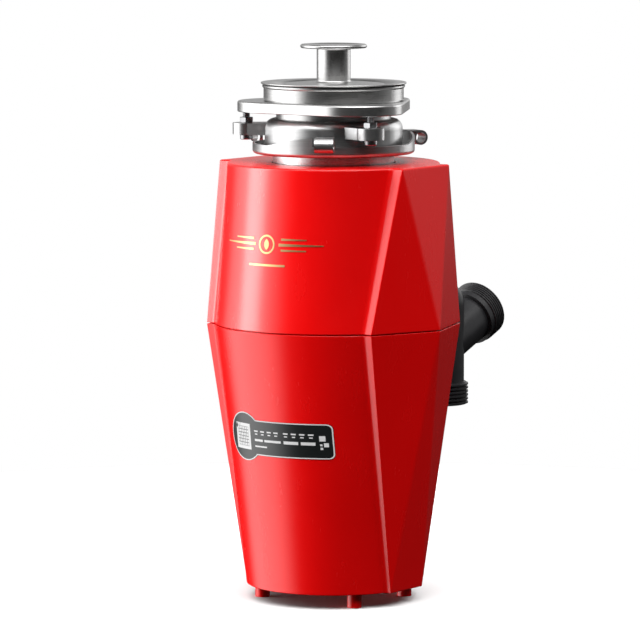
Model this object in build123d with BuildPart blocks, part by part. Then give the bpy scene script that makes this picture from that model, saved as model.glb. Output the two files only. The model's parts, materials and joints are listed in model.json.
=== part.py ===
"""Kitchen waste disposer with a red two-part cover, sink mount, grinding chamber, motor and drain.

Millimetres. The origin is on the rotor axis, on the floor between the four feet. +Z is up, the front
panel faces -Y and the drain leaves at the back, +Y. Every level below is a height above the floor.
"""

from build123d import *
from math import cos, hypot, radians, sin
import os

# ---- driving dimensions: cover -------------------------------------------------------------------
foot_height = 11.5
seam_z = 217.4
cover_top_z = 343.9
cover_bottom_z = foot_height
# Plan of the cover at three levels: (height, panel arc radius, strip distance, corner x).
# The front and back panels are arcs about the axis; beside each runs a flat strip facing straight
# forward (or back), which ends in the sharp corner where the side facets start.
top_plan = (cover_top_z, 83.2, 31.6, 87.8)
seam_plan = (seam_z, 93.6, 60.6, 79.1)
bottom_plan = (cover_bottom_z, 68.6, 21.4, 70.1)
side_point_x = 101.5  # the side facets meet here at the seam, the widest place
valley_radius = 5.0
cover_wall = 3.0
seam_gap = 1.0
blank_x = 130.0  # the loft's blank runs past every side facet

# ---- driving dimensions: sink mount --------------------------------------------------------------
sleeve_radius = 44.9  # fits the 90 mm hole of a sink
rim_radius = 57.0
rim_z = 405.2
ear_radius = 68.7  # circle of the three mounting screws
ear_angles = (-30, 90, 210)
loop_angles = (-60, 60, 180)
neck_radius = 47.6

# ---- driving dimensions: grinding chamber and motor ----------------------------------------------
shaft_radius = 7.5
bearing_radius = 17.5
bearing_width = 11.0
running_gap = 0.03
can_outer = 56.0
can_inner = 54.3
stator_radius = 54.0
air_gap_radius = 33.0
rotor_radius = 32.4
core_low, core_high = 80.0, 140.0
chamber_floor_z = 200.0
turntable_z = 264.0
turntable_radius = 62.5
ring_low, ring_high = 262.3, 290.0
joint_z = 270.4  # hopper flange face
flange_radius = 79.0
flange_screw_circle = 74.4

# ---- driving dimensions: drain -------------------------------------------------------------------
outlet_z = 219.6
pipe_radius = 20.5
pipe_bore = 17.5
drain_y = 146.7
drain_bottom_z = 138.4
thread_radius = 23.9  # G 1 1/2
thread_length = 18.1
branch_z = 187.0
branch_tilt = 22.0
branch_length = 64.4
branch_radius = 19.8

bottom_of = (Align.CENTER, Align.CENTER, Align.MIN)
foot_places = [(x, y) for x in (-44.5, 44.5) for y in (-34, 34)]
base_screw_places = [(x, y) for x in (-59.5, 59.5) for y in (-14, 14)]
standoff_places = [(x, y) for x in (-36, 36) for y in (-34, 34)]

finished = {}


def finish(builder, name):
    """Label a finished sub-part and keep it for export."""
    builder.part.label = name
    finished[name] = builder.part


def turned(*points, mode=Mode.ADD):
    """Revolve a closed outline of (radius, height) points about the rotor axis."""
    with BuildSketch(Plane.XZ) as outline:
        with BuildLine():
            Polyline(*points, close=True)
        make_face()
    revolve(outline.sketch, axis=Axis.Z, mode=mode)


def ring(inner, outer, low, high, mode=Mode.ADD):
    """A plain ring or disc about the rotor axis."""
    turned((inner, low), (outer, low), (outer, high), (inner, high), mode=mode)


def posts(places, radius, low, high, mode=Mode.ADD):
    """Vertical round posts, or holes, at the given plan places."""
    with Locations(*[(x, y, low) for x, y in places]):
        Cylinder(radius, high - low, align=bottom_of, mode=mode)


def on_circle(radius, angles):
    """Plan places on a circle about the axis."""
    return [(radius * cos(radians(a)), radius * sin(radians(a))) for a in angles]


def along_y(x, z, radius, near, far, mode=Mode.ADD):
    """A round bar, or hole, parallel to Y from y = near to y = far."""
    with BuildSketch(Plane(origin=(x, near, z), x_dir=(1, 0, 0), z_dir=(0, 1, 0))) as end:
        Circle(radius)
    extrude(end.sketch, amount=far - near, mode=mode)


# ---- cover shape ---------------------------------------------------------------------------------
def cover_plan(plan, inset):
    """One level of the cover as a face, its side facets not yet cut, shrunk by inset all round."""
    height, arc_radius, strip_y, _ = plan
    centre_y = strip_y + valley_radius
    centre_x = ((arc_radius + valley_radius) ** 2 - centre_y**2) ** 0.5
    panel = arc_radius - inset
    strip = strip_y - inset
    valley = valley_radius + inset
    reach = hypot(centre_x, centre_y)
    joint = (centre_x * panel / reach, centre_y * panel / reach)
    lean_x = centre_x / reach
    lean_y = centre_y / reach + 1
    size = hypot(lean_x, lean_y)
    middle = (centre_x - valley * lean_x / size, centre_y - valley * lean_y / size)
    with BuildSketch(Plane.XY.offset(height)) as outline:
        with BuildLine():
            for front in (-1, 1):
                joint_y = front * joint[1]
                ThreePointArc((-joint[0], joint_y), (0, front * panel), (joint[0], joint_y))
                for side in (-1, 1):
                    ThreePointArc(
                        (side * joint[0], joint_y),
                        (side * middle[0], front * middle[1]),
                        (side * centre_x, front * strip),
                    )
                    Line((side * centre_x, front * strip), (side * blank_x, front * strip))
            for side in (-1, 1):
                Line((side * blank_x, -strip), (side * blank_x, strip))
        make_face()
    return outline.sketch


def facet_planes(end_plan, inset):
    """The side facets between the seam and one end of the cover, as planes facing outward."""
    end_z, _, end_y, end_x = end_plan
    _, _, seam_y, seam_x = seam_plan
    planes = []
    for side in (-1, 1):
        point = Vector(side * side_point_x, 0, seam_z)
        ends = [Vector(side * end_x, y, end_z) for y in (-end_y, end_y)]
        corners = [Vector(side * seam_x, y, seam_z) for y in (-seam_y, seam_y)]
        for a, b in ((ends[0], ends[1]), (ends[0], corners[0]), (ends[1], corners[1])):
            normal = (a - point).cross(b - point).normalized()
            if normal.X * side < 0:
                normal = normal * -1
            planes.append(Plane(origin=point - normal * inset, z_dir=normal))
    return planes


def cover_block(end_plan, inset, low, high):
    """The solid inside the cover's surface, shrunk by inset, between two heights."""
    with BuildPart() as block:
        loft([cover_plan(seam_plan, inset), cover_plan(end_plan, inset)], ruled=True)
        for plane in facet_planes(end_plan, inset):
            split(bisect_by=plane, keep=Keep.BOTTOM)
        split(bisect_by=Plane.XY.offset(low), keep=Keep.TOP)
        split(bisect_by=Plane.XY.offset(high), keep=Keep.BOTTOM)
    return block.part


upper_outside = cover_block(top_plan, 0, seam_z + seam_gap / 2, cover_top_z)
upper_inside = cover_block(top_plan, cover_wall, seam_z + seam_gap / 2, cover_top_z - cover_wall)
lower_outside = cover_block(bottom_plan, 0, cover_bottom_z, seam_z - seam_gap / 2)
lower_inside = cover_block(bottom_plan, cover_wall, cover_bottom_z, seam_z - seam_gap / 2)

# The tongue on the lower cover closes the seam from inside and guides the upper cover.
tongue_top_z = 228.0
tongue_low_z = 207.0
tongue_inset = cover_wall + 0.4
tongue_wall = 2.2
tongue_out_low = cover_block(bottom_plan, cover_wall - 0.1, tongue_low_z, seam_z)
tongue_in_low = cover_block(bottom_plan, tongue_inset + tongue_wall, tongue_low_z, seam_z)
tongue_out_high = cover_block(top_plan, tongue_inset, seam_z, tongue_top_z)
tongue_in_high = cover_block(top_plan, tongue_inset + tongue_wall, seam_z, tongue_top_z)
base_blank = cover_block(bottom_plan, cover_wall + 0.3, 12.0, 15.0)

drain_hole_radius = 22.0
seam_screw_z = 223.5
seam_screw_angles = (55, 125)
seam_screw_radius = 1.9
tongue_notch = 37.0  # half width of the gap left in the tongue for the drain flange


def radial_bar(angle, height, radius, near, far, mode=Mode.ADD):
    """A round bar, or hole, that points straight out from the axis at the given plan angle."""
    out = Vector(cos(radians(angle)), sin(radians(angle)), 0)
    with BuildSketch(Plane(origin=out * near + Vector(0, 0, height), z_dir=out)) as end:
        Circle(radius)
    extrude(end.sketch, amount=far - near, mode=mode)


with BuildPart() as upper_cover:
    add(upper_outside)
    fillet(upper_cover.edges().group_by(Axis.Z)[-1], 1.6)
    add(upper_inside, mode=Mode.SUBTRACT)
    posts([(0, 0)], neck_radius + 1.0, cover_top_z - 10, cover_top_z + 1, mode=Mode.SUBTRACT)
    along_y(0, outlet_z, drain_hole_radius, 60, 110, mode=Mode.SUBTRACT)
    for angle in seam_screw_angles:
        radial_bar(angle, seam_screw_z, seam_screw_radius + 0.2, 80, 100, mode=Mode.SUBTRACT)
finish(upper_cover, "upper_cover")

with BuildPart() as tongue:
    add(tongue_out_low)
    add(tongue_in_low, mode=Mode.SUBTRACT)
    add(tongue_out_high)
    add(tongue_in_high, mode=Mode.SUBTRACT)
    with Locations((0, 80, tongue_low_z - 1)):
        Box(2 * tongue_notch, 60, 30, align=bottom_of, mode=Mode.SUBTRACT)
    for angle in seam_screw_angles:
        radial_bar(angle, seam_screw_z, seam_screw_radius + 0.1, 80, 100, mode=Mode.SUBTRACT)

with BuildPart() as lower_cover:
    add(lower_outside)
    add(lower_inside, mode=Mode.SUBTRACT)
    add(tongue.part)
    for x, y in base_screw_places:
        with Locations((x, y, 15.2)):
            Cylinder(4.5, 19, align=bottom_of)
        with Locations((x * 1.08, y, 15.2)):
            Box(8.4, 3, 19, align=bottom_of)
    posts(base_screw_places, 2.0, 15.2, 31, mode=Mode.SUBTRACT)
    along_y(0, outlet_z, drain_hole_radius, 60, 110, mode=Mode.SUBTRACT)
finish(lower_cover, "lower_cover")

with BuildPart() as seam_screws:
    for angle in seam_screw_angles:
        radial_bar(angle, seam_screw_z, seam_screw_radius, 85.5, 93.8)
        radial_bar(angle, seam_screw_z, 3.6, 93.7, 95.4)
finish(seam_screws, "seam_screws")

# ---- base, feet and what passes through the base -------------------------------------------------
base_low, base_high = 12.0, 15.0
reset_place = (0, -44)
gland_place = (0, 44)
foot_radius = 5.75

with BuildPart() as base_plate:
    add(base_blank)
    posts(standoff_places, 4.0, base_high, 37.9)
    posts([(0, 0)], 8.0, 11, 16, mode=Mode.SUBTRACT)
    posts([reset_place], 5.0, 11, 16, mode=Mode.SUBTRACT)
    posts([gland_place], 9.2, 11, 16, mode=Mode.SUBTRACT)
    posts(base_screw_places, 2.1, 11, 16, mode=Mode.SUBTRACT)
    posts(foot_places, 3.05, 11, 14.8, mode=Mode.SUBTRACT)
finish(base_plate, "base_plate")

with BuildPart() as feet:
    posts(foot_places, foot_radius, 0, base_low)
    fillet(feet.edges().group_by(Axis.Z)[0], 0.4)
    posts(foot_places, 3.0, base_low, 14.6)
finish(feet, "feet")

with BuildPart() as base_screws:
    posts(base_screw_places, 1.9, base_low, 30)
    posts(base_screw_places, 3.6, 9.9, base_low)
finish(base_screws, "base_screws")

with BuildPart() as overload_protector:
    with Locations((*reset_place, base_high + 0.1)):
        Box(26, 18, 16, align=bottom_of)
    posts([reset_place], 5.0, base_high, 23, mode=Mode.SUBTRACT)
finish(overload_protector, "overload_protector")

with BuildPart() as reset_button:
    posts([reset_place], 4.4, 9, 20)
    fillet(reset_button.edges().group_by(Axis.Z)[0], 1.0)
finish(reset_button, "reset_button")

with BuildPart() as cord_gland:
    posts([gland_place], 12.0, 8.6, base_low - 0.05)
    posts([gland_place], 9.0, base_low - 0.05, 24)
    fillet(cord_gland.edges().group_by(Axis.Z)[0], 1.2)
    posts([gland_place], 4.0, 8, 25, mode=Mode.SUBTRACT)
finish(cord_gland, "cord_gland")

# ---- label and emblem: thin sheets that lie on the front panel -----------------------------------
front_plane = Plane(origin=(0, -60, 0), x_dir=(1, 0, 0), z_dir=(0, -1, 0))
sheet_gap = 0.03
label_z = 134.0
label_round_x = -27.6
label_round_radius = 19.3
label_end_x = 49.1
label_height = 27.8
label_thickness = 0.35
emblem_z = 285.5
emblem_thickness = 0.3
label_out = cover_block(bottom_plan, -label_thickness, label_z - 22, label_z + 22)
label_in = cover_block(bottom_plan, -sheet_gap, label_z - 22, label_z + 22)
emblem_out = cover_block(top_plan, -emblem_thickness, 262, 300)
emblem_in = cover_block(top_plan, -sheet_gap, 262, 300)

with BuildPart() as label:
    add(label_out)
    add(label_in, mode=Mode.SUBTRACT)
    with BuildSketch(front_plane):
        with Locations((label_round_x, label_z)):
            Circle(label_round_radius)
        with Locations(((label_round_x + label_end_x) / 2, label_z)):
            RectangleRounded(label_end_x - label_round_x, label_height, 4)
    extrude(amount=50, mode=Mode.INTERSECT)
finish(label, "label")

with BuildPart() as emblem:
    add(emblem_out)
    add(emblem_in, mode=Mode.SUBTRACT)
    with BuildSketch(front_plane):
        with Locations((0, emblem_z)):
            Circle(7.4)
            Circle(6.0, mode=Mode.SUBTRACT)
        with BuildLine():
            ThreePointArc((0, emblem_z - 4.2), (2.2, emblem_z), (0, emblem_z + 4.2))
            ThreePointArc((0, emblem_z + 4.2), (-2.2, emblem_z), (0, emblem_z - 4.2))
        make_face()
        for side in (-1, 1):
            for near, far, rise, weight in ((11, 45, 0, 1.1), (13, 33, 4.2, 0.8), (13, 33, -4.2, 0.8)):
                with BuildLine():
                    Polyline(
                        (side * near, emblem_z + rise - weight),
                        (side * far, emblem_z + rise - 0.4),
                        (side * far, emblem_z + rise + 0.4),
                        (side * near, emblem_z + rise + weight),
                        close=True,
                    )
                make_face()
        with Locations((0, emblem_z - 16)):
            RectangleRounded(34, 1.6, 0.7)
    extrude(amount=50, mode=Mode.INTERSECT)
finish(emblem, "emblem")

# ---- sink mount ----------------------------------------------------------------------------------
gasket_low = 404.1
plate_low, plate_high = 383.3, 391.8
ear_low, ear_high = 365.2, 374.2
screw_radius = 2.9
lock_low = 350.9
lock_radius = 63.5
lock_wall_z = 359.2
ramp_top_z = 366.6
loop_z = 361.4
loop_radius = 5.85
loop_bore = 4.25
loop_circle = 72.3
loop_length = 14.5

with BuildPart() as stopper:
    with BuildSketch(Plane.XZ):
        with BuildLine():
            Polyline((0, 399.0), (9.0, 399.0), (9.0, 402.4), (39.5, 402.4), (39.5, 404.4))
            ThreePointArc((39.5, 404.4), (39.2, 405.0), (38.5, 405.3))
            Line((38.5, 405.3), (15.0, 406.2))
            ThreePointArc((15.0, 406.2), (13.8, 406.8), (13.25, 408.0))
            Line((13.25, 408.0), (13.25, 431.6))
            ThreePointArc((13.25, 431.6), (13.7, 432.6), (14.7, 433.0))
            Line((14.7, 433.0), (24.8, 433.0))
            ThreePointArc((24.8, 433.0), (26.1, 434.5), (24.8, 436.0))
            Polyline((24.8, 436.0), (22.0, 436.0), (20.5, 435.4), (0, 435.4), (0, 399.0))
        make_face()
    revolve(axis=Axis.Z)
finish(stopper, "stopper")

with BuildPart() as stopper_seal:
    turned((9.1, 399.4), (41.4, 399.4), (42.8, 400.6), (42.8, 401.6), (41.6, 402.3), (9.1, 402.3))
finish(stopper_seal, "stopper_seal")

with BuildPart() as sink_flange:
    with BuildSketch(Plane.XZ):
        with BuildLine():
            Polyline((42.6, 368.0), (sleeve_radius, 368.0), (sleeve_radius, 370.0), (44.0, 370.0))
            Polyline((44.0, 370.0), (44.0, 372.0), (sleeve_radius, 372.0), (sleeve_radius, 399.5))
            ThreePointArc((sleeve_radius, 399.5), (46.5, 403.4), (50.4, rim_z))
            Line((50.4, rim_z), (rim_radius - 0.65, rim_z))
            ThreePointArc((rim_radius - 0.65, rim_z), (rim_radius, 405.85), (rim_radius - 0.65, 406.5))
            Line((rim_radius - 0.65, 406.5), (51.2, 406.3))
            ThreePointArc((51.2, 406.3), (45.6, 404.2), (43.5, 399.0))
            Polyline((43.5, 399.0), (43.5, 375.5), (42.6, 374.5), (42.6, 368.0))
        make_face()
    revolve(axis=Axis.Z)
finish(sink_flange, "sink_flange")

with BuildPart() as sink_gasket:
    ring(51.2, 54.6, gasket_low, rim_z - 0.1)
finish(sink_gasket, "sink_gasket")

with BuildPart() as backup_ring:
    turned(
        (48.4, gasket_low),
        (55.8, gasket_low),
        (55.8, 402.9),
        (54.8, 401.8),
        (54.8, 393.0),
        (52.8, 393.0),
        (52.8, 401.4),
        (48.4, 401.4),
    )
finish(backup_ring, "backup_ring")

with BuildPart() as clamp_plate:
    with BuildSketch(Plane.XY.offset(plate_low)):
        with Locations(*on_circle(37.0, ear_angles)):
            Circle(38.5)
        make_hull()
    extrude(amount=plate_high - plate_low)
    fillet(clamp_plate.edges().group_by(Axis.Z)[-1], 1.6)
    fillet(clamp_plate.edges().group_by(Axis.Z)[0], 0.8)
    ring(46.0, 52.4, plate_high - 1, 392.9)
    posts([(0, 0)], 45.6, plate_low - 1, 394, mode=Mode.SUBTRACT)
finish(clamp_plate, "clamp_plate")

with BuildPart() as mount_bell:
    with BuildSketch(Plane.XZ):
        with BuildLine():
            Polyline((52.2, 356.0), (54.0, 356.0), (54.0, 370.5))
            ThreePointArc((54.0, 370.5), (51.8, 375.9), (46.6, 378.2))
            Polyline((46.6, 378.2), (45.3, 378.2), (45.3, 376.2), (46.6, 376.2))
            ThreePointArc((46.6, 376.2), (50.3, 374.4), (52.2, 370.5))
            Line((52.2, 370.5), (52.2, 356.0))
        make_face()
    revolve(axis=Axis.Z)
    with BuildSketch(Plane.XY.offset(ear_low)):
        with PolarLocations(0, 3, start_angle=ear_angles[0]):
            Polygon((50.0, -14.5), (67.0, -10.6), (67.0, 10.6), (50.0, 14.5), align=None)
        with Locations(*on_circle(ear_radius, ear_angles)):
            Circle(10.8)
        Circle(53.1, mode=Mode.SUBTRACT)
    extrude(amount=ear_high - ear_low)
    posts(on_circle(ear_radius, ear_angles), screw_radius + 0.2, 360, 380, mode=Mode.SUBTRACT)
finish(mount_bell, "mount_bell")

with BuildPart() as mount_screws:
    posts(on_circle(ear_radius, ear_angles), screw_radius, 361.0, plate_low - 0.05)
    posts(on_circle(ear_radius, ear_angles), 5.0, 361.0, 364.7)
    fillet(mount_screws.edges().group_by(Axis.Z)[0], 0.6)
finish(mount_screws, "mount_screws")

with BuildPart() as mount_nuts:
    with BuildSketch(Plane.XY.offset(ear_high + 0.1)):
        with Locations(*on_circle(ear_radius, ear_angles)):
            RegularPolygon(5.6, 6)
            Circle(screw_radius + 0.1, mode=Mode.SUBTRACT)
    extrude(amount=4.3)
finish(mount_nuts, "mount_nuts")

with BuildPart() as snap_ring:
    with BuildSketch(Plane.XY.offset(370.1)):
        Circle(47.8)
        Circle(44.15, mode=Mode.SUBTRACT)
        with Locations((0, -46)):
            Rectangle(12, 8, mode=Mode.SUBTRACT)
    extrude(amount=1.8)
finish(snap_ring, "snap_ring")

# One ramp and one rolled loop of the lock ring, made at plan angle 0 and repeated three times.
ramp_low_angle, ramp_high_angle = -49, -9.3
ramp_middle = radians((ramp_low_angle + ramp_high_angle) / 2)
ramp_run = 2 * 62.6 * sin(radians((ramp_high_angle - ramp_low_angle) / 2))
ramp_slope = (ramp_top_z - lock_wall_z) / ramp_run
ramp_plane = Plane(
    origin=(0, 0, (ramp_top_z + lock_wall_z) / 2),
    z_dir=(sin(ramp_middle) * ramp_slope, -cos(ramp_middle) * ramp_slope, 1),
)
with BuildPart() as ramp:
    with BuildSketch(Plane.XY.offset(lock_wall_z - 1)):
        Polygon(
            (0, 0),
            *[(90 * cos(radians(a)), 90 * sin(radians(a))) for a in (ramp_low_angle, ramp_high_angle)],
            align=None,
        )
        Circle(lock_radius, mode=Mode.INTERSECT)
        Circle(61.7, mode=Mode.SUBTRACT)
    extrude(amount=12)
    split(bisect_by=ramp_plane, keep=Keep.BOTTOM)

with BuildPart() as loop:
    with BuildSketch(Plane(origin=(loop_circle, -loop_length / 2, loop_z), z_dir=(0, 1, 0))):
        Circle(loop_radius)
    extrude(amount=loop_length)
    with Locations((62.6, 0, lock_wall_z - 2)):
        Box(1.7, loop_length, loop_z + loop_radius - lock_wall_z + 2, align=bottom_of)
    with Locations(((61.75 + loop_circle) / 2, 0, loop_z + loop_bore)):
        Box(loop_circle - 61.75, loop_length, loop_radius - loop_bore, align=bottom_of)
    with BuildSketch(Plane(origin=(loop_circle, -loop_length, loop_z), z_dir=(0, 1, 0))):
        Circle(loop_bore)
    extrude(amount=2 * loop_length, mode=Mode.SUBTRACT)

with BuildPart() as lock_ring:
    with BuildSketch(Plane.XZ):
        with BuildLine():
            Line((48.2, lock_low), (60.5, lock_low))
            ThreePointArc((60.5, lock_low), (62.62, lock_low + 0.88), (lock_radius, lock_low + 3))
            Polyline((lock_radius, lock_low + 3), (lock_radius, lock_wall_z), (61.7, lock_wall_z))
            Polyline((61.7, lock_wall_z), (61.7, 353.1), (51.4, 353.1), (51.4, 362.5))
            Polyline((51.4, 362.5), (48.2, 362.5), (48.2, lock_low))
        make_face()
    revolve(axis=Axis.Z)
    with PolarLocations(0, 3, start_angle=loop_angles[0]):
        add(ramp.part)
        add(loop.part)
finish(lock_ring, "lock_ring")

with BuildPart() as splash_guard:
    turned(
        (45.2, 366.1),
        (51.6, 366.1),
        (51.6, 369.4),
        (46.6, 369.4),
        (45.8, 367.5),
        (43.4, 367.5),
        (42.4, 358.8),
        (12.0, 352.2),
        (12.0, 350.0),
        (43.6, 356.4),
        (45.2, 358.6),
    )
    with BuildSketch(Plane.XY.offset(345)):
        with PolarLocations(23.5, 6):
            Rectangle(25, 0.9)
    extrude(amount=20, mode=Mode.SUBTRACT)
finish(splash_guard, "splash_guard")

# ---- grinding chamber ----------------------------------------------------------------------------
flange_screw_angles = [30 + 60 * i for i in range(6)]
flange_screw_places = on_circle(flange_screw_circle, flange_screw_angles)
chamber_inside = 64.0
outlet_face_y = 71.0
flange_bolt_x = 29.0
collar_radius = 23.4
floor_screw_places = on_circle(56.0, (0, 180, 270)) + on_circle(56.0, (52, 128))
pin_places = [(-38, 0), (38, 0)]

with BuildPart() as hopper:
    turned(
        (45.6, 366.0),
        (45.6, 338.6),
        (67.6, 313.6),
        (67.6, joint_z),
        (flange_radius, joint_z),
        (flange_radius, joint_z + 5),
        (69.6, joint_z + 5),
        (69.6, 314.2),
        (neck_radius, 339.0),
        (neck_radius, 363.0),
        (51.8, 363.0),
        (51.8, 366.0),
    )
    posts(flange_screw_places, 2.6, joint_z - 1, joint_z + 6, mode=Mode.SUBTRACT)
finish(hopper, "hopper")

with BuildPart() as hopper_gasket:
    ring(70.0, 78.0, 268.3, joint_z - 0.05)
    posts(flange_screw_places, 2.6, 268, 271, mode=Mode.SUBTRACT)
finish(hopper_gasket, "hopper_gasket")

with BuildPart() as flange_screws:
    posts(flange_screw_places, 2.4, 264, joint_z + 5.05)
    posts(flange_screw_places, 4.2, joint_z + 5.05, joint_z + 8.4)
finish(flange_screws, "flange_screws")

with BuildPart() as grind_ring:
    ring(63.5, 67.3, ring_low, ring_high)
    with BuildSketch(Plane.XY.offset(ring_low - 1)):
        with PolarLocations(64.0, 32):
            Rectangle(4.0, 3.2)
    extrude(amount=16, mode=Mode.SUBTRACT)
finish(grind_ring, "grind_ring")


def drain_flange_outline(plane, hole):
    """The two-eared flange outline around the discharge pipe, on the given plane, as a sketch."""
    with BuildSketch(plane) as outline:
        Circle(collar_radius)
        with Locations((-flange_bolt_x, 0), (flange_bolt_x, 0)):
            Circle(7.0)
        make_hull()
        Circle(hole, mode=Mode.SUBTRACT)
        with Locations((-flange_bolt_x, 0), (flange_bolt_x, 0)):
            Circle(2.6, mode=Mode.SUBTRACT)
    return outline.sketch


def drain_plane(y):
    """A plane across the discharge pipe, facing the back."""
    return Plane(origin=(0, y, outlet_z), x_dir=(1, 0, 0), z_dir=(0, 1, 0))


with BuildPart() as grind_chamber:
    turned(
        (15.2, 196.0),
        (67.0, 196.0),
        (67.0, 257.0),
        (70.5, 260.5),
        (70.5, 263.0),
        (flange_radius, 263.0),
        (flange_radius, 268.2),
        (67.6, 268.2),
        (67.6, 262.0),
        (chamber_inside, 262.0),
        (chamber_inside, chamber_floor_z),
        (18.0, 203.5),
        (15.2, 203.5),
    )
    extrude(drain_flange_outline(drain_plane(58), pipe_bore), amount=outlet_face_y - 58)
    ring(15.2, chamber_inside, 204, 262, mode=Mode.SUBTRACT)
    along_y(0, outlet_z, pipe_bore, 40, 80, mode=Mode.SUBTRACT)
    posts(flange_screw_places, 2.45, 262, 269, mode=Mode.SUBTRACT)
    posts(floor_screw_places, 2.5, 195, 205, mode=Mode.SUBTRACT)
finish(grind_chamber, "grind_chamber")

with BuildPart() as floor_screws:
    posts(floor_screw_places, 2.4, 190.6, 201.1)
    posts(floor_screw_places, 4.0, 201.1, 204.1)
finish(floor_screws, "floor_screws")

with BuildPart() as shaft_seal:
    turned(
        (shaft_radius + 0.05, 191.5),
        (15.1, 191.5),
        (15.1, 203.4),
        (13.0, 203.4),
        (10.0, 206.0),
        (shaft_radius + 0.05, 206.0),
    )
finish(shaft_seal, "shaft_seal")

with BuildPart() as turntable:
    ring(6.0, turntable_radius, turntable_z, turntable_z + 3)
    ring(6.0, 14.0, 262.0, turntable_z)
    ring(shaft_radius, 14.0, 252.0, 262.0)
    posts(on_circle(52, range(0, 360, 45)), 3.0, turntable_z - 1, turntable_z + 4, mode=Mode.SUBTRACT)
    posts(pin_places, 3.0, turntable_z - 1, turntable_z + 4, mode=Mode.SUBTRACT)
finish(turntable, "turntable")

with BuildPart() as turntable_nut:
    with BuildSketch(Plane.XY.offset(turntable_z + 3)):
        RegularPolygon(11.0, 6)
        Circle(6.0, mode=Mode.SUBTRACT)
    extrude(amount=6.5)
finish(turntable_nut, "turntable_nut")

with BuildPart() as impeller_pins:
    posts(pin_places, 3.0, turntable_z, 279.0)
    posts(pin_places, 5.4, 279.0, 281.0)
finish(impeller_pins, "impeller_pins")

for side, name in ((1, "impeller_a"), (-1, "impeller_b")):
    pivot = (side * 38, 0)
    with BuildPart() as impeller:
        with BuildSketch(Plane.XY.offset(turntable_z + 3.4)):
            with Locations(pivot):
                Circle(6.5)
            with Locations((side * 53, 0)):
                Rectangle(11, 13)
            make_hull()
        extrude(amount=11.2)
        with Locations((side * 60, 0, turntable_z + 3)):
            Cylinder(7, 8, align=bottom_of, mode=Mode.SUBTRACT)
        posts([pivot], 3.06, turntable_z, 285, mode=Mode.SUBTRACT)
    finish(impeller, name)

# ---- motor ---------------------------------------------------------------------------------------
bolt_places = on_circle(62.8, (45, 135, 225, 315))
bell_radius = 67.2
can_low, can_high = 43.1, 189.9
lower_bearing_z, upper_bearing_z = 28.0, 179.0
capacitor_place = (70.5, 0)

with BuildPart() as upper_end_bell:
    turned(
        (bearing_radius + 0.02, 178.0),
        (22.0, 178.0),
        (22.0, 190.0),
        (can_outer + 0.3, 190.0),
        (can_outer + 0.3, 183.0),
        (60.0, 183.0),
        (60.0, 190.0),
        (bell_radius, 190.0),
        (bell_radius, 195.9),
        (15.2, 195.9),
        (15.2, 190.3),
        (bearing_radius + 0.02, 190.3),
    )
    posts(bolt_places, 2.6, 189, 197, mode=Mode.SUBTRACT)
    posts(floor_screw_places, 2.45, 190.5, 197, mode=Mode.SUBTRACT)
finish(upper_end_bell, "upper_end_bell")

with BuildPart() as lower_end_bell:
    turned(
        (8.2, 25.0),
        (22.0, 25.0),
        (22.0, 38.0),
        (bell_radius, 38.0),
        (bell_radius, 43.0),
        (60.0, 43.0),
        (60.0, 50.0),
        (can_outer + 0.3, 50.0),
        (can_outer + 0.3, 43.0),
        (bearing_radius + 0.02, 43.0),
        (bearing_radius + 0.02, 27.6),
        (8.2, 27.6),
    )
    posts(bolt_places, 2.6, 37, 44, mode=Mode.SUBTRACT)
finish(lower_end_bell, "lower_end_bell")

with BuildPart() as through_bolts:
    posts(bolt_places, 2.5, 34.0, 195.9)
    posts(bolt_places, 4.2, 34.0, 37.9)
finish(through_bolts, "through_bolts")

with BuildPart() as motor_can:
    ring(can_inner, can_outer, can_low, can_high)
finish(motor_can, "motor_can")

for name, low in (("lower_bearing", lower_bearing_z), ("upper_bearing", upper_bearing_z)):
    high = low + bearing_width
    with BuildPart() as bearing:
        turned(
            (shaft_radius + running_gap, low),
            (10.6, low),
            (10.6, low + 0.8),
            (14.6, low + 0.8),
            (14.6, low),
            (bearing_radius, low),
            (bearing_radius, high),
            (14.6, high),
            (14.6, high - 0.8),
            (10.6, high - 0.8),
            (10.6, high),
            (shaft_radius + running_gap, high),
        )
    finish(bearing, name)

with BuildPart() as rotor_shaft:
    turned((0, 27.9), (shaft_radius, 27.9), (shaft_radius, 262), (6, 262), (6, 277), (0, 277))
    with BuildSketch(Plane.XY.offset(27.9)):
        RegularPolygon(4.0, 6)
    extrude(amount=9, mode=Mode.SUBTRACT)
finish(rotor_shaft, "rotor_shaft")

with BuildPart() as rotor_core:
    ring(shaft_radius, rotor_radius, core_low, core_high)
finish(rotor_core, "rotor_core")

with BuildPart() as rotor_cage:
    ring(17.0, 31.8, core_high, core_high + 8)
    ring(17.0, 31.8, core_low - 8, core_low)
finish(rotor_cage, "rotor_cage")

with BuildPart() as stator_core:
    with BuildSketch(Plane.XY.offset(core_low)):
        Circle(stator_radius)
        Circle(air_gap_radius, mode=Mode.SUBTRACT)
        with PolarLocations(40.5, 24):
            Rectangle(11, 4.2, mode=Mode.SUBTRACT)
    extrude(amount=core_high - core_low)
finish(stator_core, "stator_core")

for name, low in (("lower_winding", core_low - 20.5), ("upper_winding", core_high + 0.5)):
    with BuildPart() as winding:
        ring(36.0, 51.0, low, low + 20)
        fillet(winding.edges(), 5.0)
    finish(winding, name)

with BuildPart() as start_switch:
    ring(19.0, 34.0, 43.1, 45.1)
    with Locations((27, 0, 45.1)):
        Box(12, 10, 6, align=bottom_of)
finish(start_switch, "start_switch")

with BuildPart() as switch_actuator:
    turned((shaft_radius, 52), (15, 52), (15, 54), (10, 62), (shaft_radius, 62))
finish(switch_actuator, "switch_actuator")

with BuildPart() as capacitor:
    posts([capacitor_place], 12.0, 128, 180)
    fillet(capacitor.edges(), 1.5)
finish(capacitor, "capacitor")

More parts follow.
